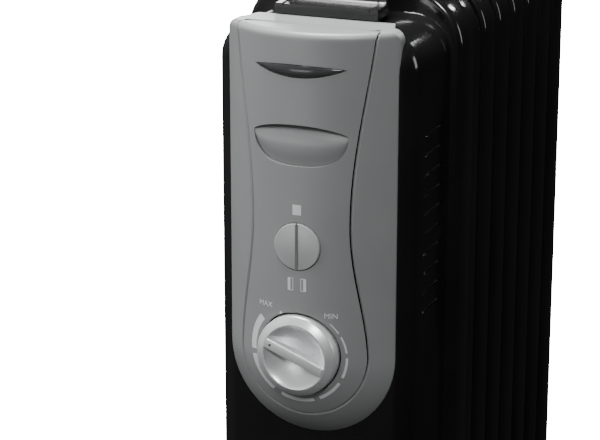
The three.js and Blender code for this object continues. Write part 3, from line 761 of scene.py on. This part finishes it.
def fasciaRows():
    rows = []
    inner = panelRows(skin["gap"] / 2)
    middle = len(inner) // 2
    steps = 36
    for index, (inX, outX, inLevel, outLevel) in enumerate(inner):
        side = 1 if index < middle else -1
        zone, amount = outLevel
        level = outLevel
        fromBottom = abs(index - middle)
        if zone == "roof":
            farX = farHalf(skin["top"])
        elif zone == "edge":
            farX = farHalf(faceTop + skin["edge"] * math.sin(amount * math.pi / 2))
        elif fromBottom <= steps:
            a = math.radians(90 * fromBottom / steps - 90)
            farX = skin["half"] * math.cos(a)
            level = ("face", skin["roundZ"] + skin["half"] * math.sin(a))
        else:
            part = (amount - dialZ) / (faceTop - dialZ)
            level = ("face", skin["roundZ"] + (faceTop - skin["roundZ"]) * part)
            farX = farHalf(level[1])
        rows.append((outX, side * farX, outLevel, level))
    return rows


def fasciaPiece():
    bm = bmesh.new()
    rows = fasciaRows()
    last = len(rows) - 1
    gap = skin["gap"] / 2
    panelBack = panel["back"] + gap

    def place(u, v):
        inX, outX, inLevel, outLevel = rows[round(u * last)]
        back = panelBack + (skin["shoulder"] - panelBack) * v
        return onSkin(inX + (outX - inX) * v, between(inLevel, outLevel, v), back)

    sheetGrid(bm, last, 18, place)
    corner = rows[0]
    inner = onSkin(corner[0], corner[2], panelBack)
    outer = onSkin(corner[1], corner[3], skin["shoulder"])
    tab = Vector((skin["tabHalf"], skin["tabBack"], skin["top"]))

    def fan(side):
        def place(u, v):
            far = outer.lerp(tab, u)
            spot = inner.lerp(far, v)
            return Vector((side * spot.x, spot.y, spot.z))

        return place

    sheetGrid(bm, 5, 18, fan(1))
    sheetGrid(bm, 5, 18, fan(-1))

    def rear(u, v):
        spot = inner.lerp(tab, v)
        return Vector((spot.x * (2 * u - 1), spot.y, spot.z))

    sheetGrid(bm, 24, 18, rear)
    bm = shellFrom(bm, 2.0)
    addCheeks(bm)
    return finishPiece("fascia", bm, "greyPlastic", ["fascia"])


# The side wall at each top corner, which follows the cover's rounded shoulder and turns into the roof.
cheekLip = [(0.9, 0.1), (0.4, 0.5), (0.1, 1.0), (0, 1.6)]


def addCheeks(bm):
    half, r = skin["half"], skin["cornerTop"]
    low = coverRim["top"] - coverRim["corner"]
    turnZ = skin["top"] - r

    def shoulderAt(x, z):
        reach = math.hypot(x - (coverRim["half"] - coverRim["corner"]), max(z - low, 0))
        inside = max(coverRim["corner"] - reach, 0)
        bend = box["round"]
        drop = bend - math.sqrt(max(bend ** 2 - (bend - min(inside, bend)) ** 2, 0))
        return min(box["front"] + drop + 0.3, skin["shoulder"])

    def frontAt(x, z):
        rise = min(max(z - faceTop, 0), skin["edge"])
        return domeDepth(x, skin["top"]) + skin["edge"] - math.sqrt(skin["edge"] ** 2 - rise ** 2)

    def wallAt(v, inset):
        if v < 0.5:
            return half - inset, low + (turnZ - low) * v * 2
        a = (v - 0.5) * math.pi
        return half - r + (r - inset) * math.cos(a), turnZ + (r - inset) * math.sin(a)

    for side in (-1, 1):

        def place(u, v):
            column = round(u * 9)
            x, z = wallAt(v, 0)
            near = frontAt(x, z)
            if column < len(cheekLip):
                inset, behind = cheekLip[column]
                x, z = wallAt(v, inset)
                return Vector((side * x, near + behind, z))
            start = near + cheekLip[-1][1]
            part = (column - len(cheekLip) + 1) / (10 - len(cheekLip))
            return Vector((side * x, start + (max(shoulderAt(x, z), start + 0.3) - start) * part, z))

        verts = sheetGrid(bm, 9, 48, place)
        faces = list({f for v in verts for f in v.link_faces})
        made = bmesh.ops.extrude_face_region(bm, geom=faces)
        for v in [g for g in made["geom"] if isinstance(g, bmesh.types.BMVert)]:
            inward = Vector((abs(v.co.x) - (half - r), 0, v.co.z - turnZ))
            if inward.z < 0:
                inward = Vector((1, 0, 0))
            inward = inward.normalized() * skin["thick"]
            v.co -= Vector((side * inward.x, 0, inward.z))


fasciaPiece()

print("knob")

knob = {
    "radius": 30, "dish": 22.6, "deep": 6, "rimY": -5.9, "top": knobLow.y, "back": knobHigh.y,
    "bar": 3.65, "tilt": -21.5, "pointer": 1.5, "pointerOut": 19.5,
}


def knobPiece():
    bm = bmesh.new()
    r, back = knob["radius"], knob["back"]
    profile = [(0.001, back), (r - 1.5, back), (r - 0.6, back - 0.4), (r, back - 1.5)]
    profile += [(r, -1.6), (r - 0.25, -2.4), (r - 0.9, -3.1)]
    profile += [(knob["dish"] + 1.6, knob["rimY"] - 0.15), (knob["dish"] + 0.7, knob["rimY"])]
    profile += [(knob["dish"], knob["rimY"] + 0.6)]
    ball = (knob["dish"] ** 2 + knob["deep"] ** 2) / (2 * knob["deep"])
    for i in range(1, 15):
        a = knob["dish"] * (1 - i / 14)
        sink = math.sqrt(ball ** 2 - a ** 2) - (ball - knob["deep"])
        profile.append((max(a, 0.001), knob["rimY"] + 0.6 + sink))
    lathe(bm, profile, 128, lambda a, b, c: Vector((a, b, c)))
    reach = knob["dish"] + 1
    roundedCube(bm, (-reach, knob["top"] + 0.1, -knob["bar"]), (reach, 3, knob["bar"]), 0.7, 4)
    turn = Matrix.Rotation(math.radians(-knob["tilt"]), 4, "Y")
    bm.transform(Matrix.Translation((0, 0, dialZ)) @ turn)
    return finishPiece("control knob", bm, "silverPlastic", ["control_knob"], "knob", sharp=28)


def knobMark():
    bm = bmesh.new()
    bmesh.ops.create_circle(bm, cap_ends=True, segments=3, radius=knob["pointer"])
    upright = Matrix.Rotation(math.radians(90), 4, "X") @ Matrix.Rotation(math.radians(90), 4, "Z")
    bm.transform(Matrix.Translation((-knob["pointerOut"], knob["top"] + 0.06, 0)) @ upright)
    coreSolid(bm, bm.faces[:], lambda v: Vector((0, 0.3, 0)))
    turn = Matrix.Rotation(math.radians(-knob["tilt"]), 4, "Y")
    bm.transform(Matrix.Translation((0, 0, dialZ)) @ turn)
    return finishPiece("knob pointer", bm, "darkInk", (), "knob")


knobPiece()
knobMark()

print("rocker keys")

keys = {"radius": 17.2, "split": 0.3, "face": rockerLow.y, "back": rockerHigh.y, "round": 0.9}


def keyPiece(side, node, body):
    bm = bmesh.new()
    bmesh.ops.create_circle(bm, cap_ends=True, segments=128, radius=keys["radius"])
    bm.transform(Matrix.Rotation(math.radians(90), 4, "X"))
    bmesh.ops.bisect_plane(
        bm, geom=bm.verts[:] + bm.edges[:] + bm.faces[:], plane_co=(side * keys["split"], 0, 0),
        plane_no=(side, 0, 0), clear_inner=True,
    )
    coreSolid(bm, bm.faces[:], lambda v: Vector((0, keys["back"] - keys["face"], 0)))
    front = [e for e in bm.edges if all(abs(v.co.y) < 0.01 for v in e.verts)]
    rounding = keys["round"]
    bmesh.ops.bevel(bm, geom=front, offset=rounding, segments=4, affect="EDGES", profile=0.5, material=-1)
    bm.transform(Matrix.Translation((0, keys["face"], rockerZ)))
    return finishPiece("rocker key " + node[7:], bm, "keyPlastic", [node], body, sharp=32)


keyPiece(-1, "rocker_left", "key_left")
keyPiece(1, "rocker_right", "key_right")

print("lens")


lensSwell = {"edge": 0.5, "rise": 1.5, "deep": 2.6}


def lensPiece():
    clear = 0.3
    shape = {"half": lensShape["half"] - 2 * clear, "z": lensShape["z"]}
    shape["rise"] = lensShape["rise"] - clear
    shape["drop"] = lensShape["drop"] - clear

    def lensFront(x, z):
        low, high = almondLevels(shape["half"], shape["rise"], shape["drop"], x)
        part = min(max((z - shape["z"] - low) / max(high - low, 0.01), 0), 1)
        swell = math.sqrt(math.sin(math.pi * part)) * math.sqrt(max(1 - (x / shape["half"]) ** 2, 0))
        return domeDepth(x, z) + lensSwell["edge"] - lensSwell["rise"] * swell

    bm = almondSolid(shape, lensFront, lambda x, z: domeDepth(x, z) + lensSwell["deep"])
    return finishPiece("indicator lens", bm, "smokedLens", ["indicator_lens"])


lensPiece()

print("printed marks")


# Ink is a thin raised sheet that follows the panel's curve.
def inkSheet(bm, columns, rows, flat, raised=0.07):
    def place(u, v):
        x, z = flat(u, v)
        return Vector((x, domeDepth(x, z) - raised, z))

    verts = sheetGrid(bm, columns, rows, place)
    bmesh.ops.remove_doubles(bm, verts=verts, dist=0.003)
    live = [v for v in verts if v.is_valid]
    faces = list({f for v in live for f in v.link_faces})
    made = bmesh.ops.extrude_face_region(bm, geom=faces)
    for v in [g for g in made["geom"] if isinstance(g, bmesh.types.BMVert)]:
        v.co.y += raised + 0.08


ring = {"inner": 34.6, "thick": 5.0, "thin": 0.7, "from": 140, "to": 407}
arcEnds = [(140, 184), (190.5, 236), (246.4, 287.4), (295, 327), (335, 360), (366, 387), (392, 407)]


def dialArcs():
    bm = bmesh.new()
    for start, end in arcEnds:

        def flat(u, v):
            a = start + (end - start) * u
            part = (a - ring["from"]) / (ring["to"] - ring["from"])
            width = ring["thick"] + (ring["thin"] - ring["thick"]) * part
            r = ring["inner"] + width * v
            return r * math.cos(math.radians(a)), dialZ + r * math.sin(math.radians(a))

        inkSheet(bm, 28, 3, flat)
    return finishPiece("dial arcs", bm, "paleInk")


def panelMarks():
    bm = bmesh.new()
    dot = {"out": 32.6, "turn": math.radians(113), "radius": 0.9}
    dotX = dot["out"] * math.cos(dot["turn"])
    dotZ = dialZ + dot["out"] * math.sin(dot["turn"])

    def dotSpot(u, v):
        r = dot["radius"] * v
        return dotX + r * math.cos(2 * math.pi * u), dotZ + r * math.sin(2 * math.pi * u)

    inkSheet(bm, 24, 2, dotSpot)
    square = {"wide": 6.4, "tall": 7.4, "z": dialZ + 107.5}
    inkSheet(bm, 4, 4, lambda u, v: (square["wide"] * (u - 0.5), square["z"] + square["tall"] * (v - 0.5)))
    bar = {"x": 4.9, "half": 2.1, "tall": 9.4, "z": dialZ + 52.8, "line": 0.5}
    for side in (-1, 1):
        left = side * bar["x"] - bar["half"]
        low = bar["z"] - bar["tall"] / 2
        full = 2 * bar["half"]
        fill = left if side < 0 else left + bar["half"]
        line = bar["line"]
        strips = [
            (left, low, full, line),
            (left, low + bar["tall"] - line, full, line),
            (left, low + line, line, bar["tall"] - 2 * line),
            (left + full - line, low + line, line, bar["tall"] - 2 * line),
            (fill + 0.02, low + line, bar["half"] - 0.04, bar["tall"] - 2 * line),
        ]
        for x, z, wide, tall in strips:
            inkSheet(bm, 3, 3, lambda u, v: (x + wide * u, z + tall * v))
    return finishPiece("panel marks", bm, "paleInk")


def dialWord(text, x, z, size):
    words = bpy.data.curves.new(text, "FONT")
    words.body = text
    words.size = size
    words.align_x = "CENTER"
    words.align_y = "CENTER"
    holder = bpy.data.objects.new(text, words)
    scene.collection.objects.link(holder)
    bpy.context.view_layer.update()
    settled = holder.evaluated_get(bpy.context.evaluated_depsgraph_get())
    mesh = bpy.data.meshes.new_from_object(settled)
    bpy.data.objects.remove(holder)
    bm = bmesh.new()
    bm.from_mesh(mesh)
    bpy.data.meshes.remove(mesh)
    bmesh.ops.remove_doubles(bm, verts=bm.verts, dist=0.001)
    for v in bm.verts:
        flatX, flatZ = x + v.co.x, z + v.co.y
        v.co = Vector((flatX, domeDepth(flatX, flatZ) - 0.07, flatZ))
    coreSolid(bm, bm.faces[:], lambda v: Vector((0, 0.15, 0)))
    return finishPiece("word " + text.lower(), bm, "paleInk")


dialArcs()
panelMarks()
dialWord("MAX", -25.6, dialZ + 34.2, 5.4)
dialWord("MIN", 24.6, dialZ + 31.2, 5.4)

print("handle")

handleLow, handleHigh = boxOf("handle")
handle = {
    "front": handleLow.y, "back": handleHigh.y, "low": skin["top"] + 0.7, "thick": 7.5, "rise": 50,
    "half": handleHigh.x, "grip": 19, "rail": 5.5, "sink": 0.24,
}


def bezier(a, b, c, d, steps):
    points = []
    for i in range(steps + 1):
        t = i / steps
        s = 1 - t
        points.append(a * s ** 3 + b * 3 * s * s * t + c * 3 * s * t * t + d * t ** 3)
    return points


def joined(*runs):
    path = list(runs[0])
    for run in runs[1:]:
        path += run[1:]
    return path


def straight(a, b, steps):
    return [a.lerp(b, i / steps) for i in range(steps + 1)]


def handlePaths():
    y0, y1, low, t = handle["front"], handle["back"], handle["low"], handle["thick"]
    grip = low + handle["rise"]
    foot = low + 1
    crest = grip + t
    rear = finHigh.z + 0.3

    def at(y, z):
        return Vector((0, y, z))

    top = joined(
        straight(at(y0, low + t), at(y0 + 17, foot + t), 5),
        bezier(at(y0 + 17, foot + t), at(y0 + 26, foot + t), at(y0 + 22, crest), at(y0 + 46, crest), 18),
        straight(at(y0 + 46, crest), at(y1 - 28, crest), 10),
        bezier(at(y1 - 28, crest), at(y1 - 3, crest), at(y1 - 2, rear + 12), at(y1, rear), 16),
    )
    under = joined(
        straight(at(y0, low), at(y0 + 20, foot), 5),
        bezier(at(y0 + 20, foot), at(y0 + 32, foot + 1), at(y0 + 30, grip), at(y0 + 48, grip), 18),
        straight(at(y0 + 48, grip), at(y1 - 30, grip), 10),
        bezier(at(y1 - 30, grip), at(y1 - 10, grip), at(y1 - 12, rear + 8), at(y1 - 10, rear), 16),
    )
    return top, under


def easeBetween(a, b, part):
    part = min(max(part, 0), 1)
    return a + (b - a) * part * part * (3 - 2 * part)


def handleHalf(y):
    if y < handle["front"] + 60:
        return easeBetween(handle["half"], handle["grip"], (y - handle["front"] - 16) / 40)
    return easeBetween(handle["grip"], handle["grip"] + 6, (y - handle["back"] + 34) / 24)


def handlePiece():
    bm = bmesh.new()
    top, under = handlePaths()
    last = len(top) - 1
    rail, sink = handle["rail"], handle["sink"]
    ring = [(-1, 0, 0.25), (-1, 0.06, 0), (-1, 0.9, 0), (-1, 0.97, 0.2), (-1, 1, 0.7)]
    ring += [(-1, 1, rail), (-1, 0.98, rail + 0.2), (-1, 1 - sink, rail + 0.3), (-1, 1 - sink, rail + 1.1)]
    ring += [(-1, 0.94, rail + 1.3)]
    section = ring + [(1, up, inn) for _, up, inn in reversed(ring)]
    section.append(section[0])
    across = len(section) - 1

    def place(u, v):
        i = round(u * last)
        side, up, inside = section[round(v * across)]
        spot = under[i].lerp(top[i], up)
        spot.x = side * (handleHalf((under[i].y + top[i].y) / 2) - inside)
        return spot

    verts = sheetGrid(bm, last, across, place)
    bmesh.ops.remove_doubles(bm, verts=verts, dist=0.003)
    bmesh.ops.holes_fill(bm, edges=[e for e in bm.edges if e.is_boundary], sides=0)
    return finishPiece("carrying handle", bm, "handlePlastic", ["handle"], sharp=32)


handlePiece()

print("castor wheels")


def wheelPiece(corner):
    node = "castor_wheel_" + corner
    low, high = boxOf(node)
    centre = (low + high) / 2
    half = high.x - centre.x
    r = high.z - centre.z
    bore, hub, dish, sunk, shoulder = 2.9, 6, 11.2, 0.8, 2.4
    profile = [(bore, -half), (hub, -half), (hub + 0.6, sunk - half), (dish - 0.7, sunk - half)]
    profile += [(dish, -half), (r - shoulder, -half)]
    profile += arcProfile((r - shoulder, shoulder - half), shoulder, -90, 0, 6)
    profile += [(r, -1.2), (r - 0.6, -0.6), (r - 0.6, 0.6), (r, 1.2)]
    profile += arcProfile((r - shoulder, half - shoulder), shoulder, 0, 90, 6)
    profile += [(dish, half), (dish - 0.7, half - sunk), (hub + 0.6, half - sunk), (hub, half)]
    profile += [(bore, half), (bore, -half)]
    bm = bmesh.new()
    lathe(bm, profile, 64, lambda a, b, c: Vector((centre.x + b, centre.y + a, centre.z + c)))
    return finishPiece("wheel " + corner.replace("_", " "), bm, "wheelPlastic", [node], "wheel_" + corner)


for row in ("front", "rear"):
    for hand in ("left", "right"):
        wheelPiece(row + "_" + hand)

print("stage, lights and camera")

floorMesh = bpy.data.meshes.new("floor")
floorBm = bmesh.new()
bmesh.ops.create_grid(floorBm, x_segments=1, y_segments=1, size=30)
floorBm.to_mesh(floorMesh)
floorBm.free()
floor = bpy.data.objects.new("floor", floorMesh)
floor.location.z = -0.0005
floor.visible_glossy = False
floor.visible_diffuse = False
scene.collection.objects.link(floor)
floorPaint = bpy.data.materials.new("pale floor")
floorPaint.use_nodes = True
floorShader = floorPaint.node_tree.nodes["Principled BSDF"]
floorShader.inputs["Base Color"].default_value = (0.9, 0.9, 0.9, 1)
floorShader.inputs["Roughness"].default_value = 0.9
floorShader.inputs["Emission Color"].default_value = (1, 1, 1, 1)
floorShader.inputs["Emission Strength"].default_value = 22.0
floorMesh.materials.append(floorPaint)

world = bpy.data.worlds.new("studio")
world.use_nodes = True
sky = world.node_tree
direction = sky.nodes.new("ShaderNodeTexCoord")
along = sky.nodes.new("ShaderNodeVectorMath")
along.operation = "DOT_PRODUCT"
along.inputs[1].default_value = (-0.5, -0.4, 0.77)
fade = sky.nodes.new("ShaderNodeMapRange")
fade.interpolation_type = "SMOOTHSTEP"
fade.inputs["From Min"].default_value = 0.0
fade.inputs["From Max"].default_value = 1.0
fade.inputs["To Min"].default_value = 0.012
fade.inputs["To Max"].default_value = 0.36
sky.links.new(direction.outputs["Generated"], along.inputs[0])
sky.links.new(along.outputs["Value"], fade.inputs["Value"])
sky.links.new(fade.outputs["Result"], sky.nodes["Background"].inputs["Strength"])
sky.nodes["Background"].inputs["Color"].default_value = (1, 1, 1, 1)
scene.world = world

target = Vector((0.0025, frontY, 0.4776))


def softBox(name, spot, aim, size, power):
    lamp = bpy.data.lights.new(name, "AREA")
    lamp.shape = "RECTANGLE"
    lamp.size, lamp.size_y = size
    lamp.energy = power
    holder = bpy.data.objects.new(name, lamp)
    scene.collection.objects.link(holder)
    holder.location = spot
    holder.rotation_mode = "QUATERNION"
    holder.rotation_quaternion = (Vector(aim) - Vector(spot)).to_track_quat("-Z", "Y")
    return holder


softBox("key", (-1.7, -0.8, 1.5), (0, 0, 0.45), (0.9, 0.9), 27).visible_glossy = False
softBox("above", (-0.3, -0.1, 2.3), (0, 0, 0.5), (0.7, 0.7), 95)
softBox("fill", (-0.7, -2.4, 0.4), (0, 0, 0.4), (0.9, 0.5), 5)
softBox("front", (0.8, -1.9, 1.9), (0, 0, 0.4), (0.5, 0.5), 27)
softBox("rim", (1.0, 3.0, 1.75), (0, 0, 0.5), (0.16, 0.3), 6)
softBox("rear", (-0.8, 2.6, 1.0), (0, 0, 0.4), (1.2, 0.8), 30)
softBox("side", (2.4, 0.6, 1.0), (0, 0, 0.4), (0.8, 1.0), 10)

view = {"azimuth": 23.02, "elevation": 16.94, "distance": 1.5112, "lens": 130.2}
azimuth, elevation = math.radians(view["azimuth"]), math.radians(view["elevation"])
back = Vector((
    math.sin(azimuth) * math.cos(elevation), -math.cos(azimuth) * math.cos(elevation), math.sin(elevation),
))
camera = bpy.data.objects.new("camera", bpy.data.cameras.new("camera"))
scene.collection.objects.link(camera)
camera.location = target + back * view["distance"]
camera.rotation_mode = "QUATERNION"
camera.rotation_quaternion = (-back).to_track_quat("-Z", "Y")
camera.data.lens = view["lens"]
camera.data.sensor_width = 36
scene.camera = camera
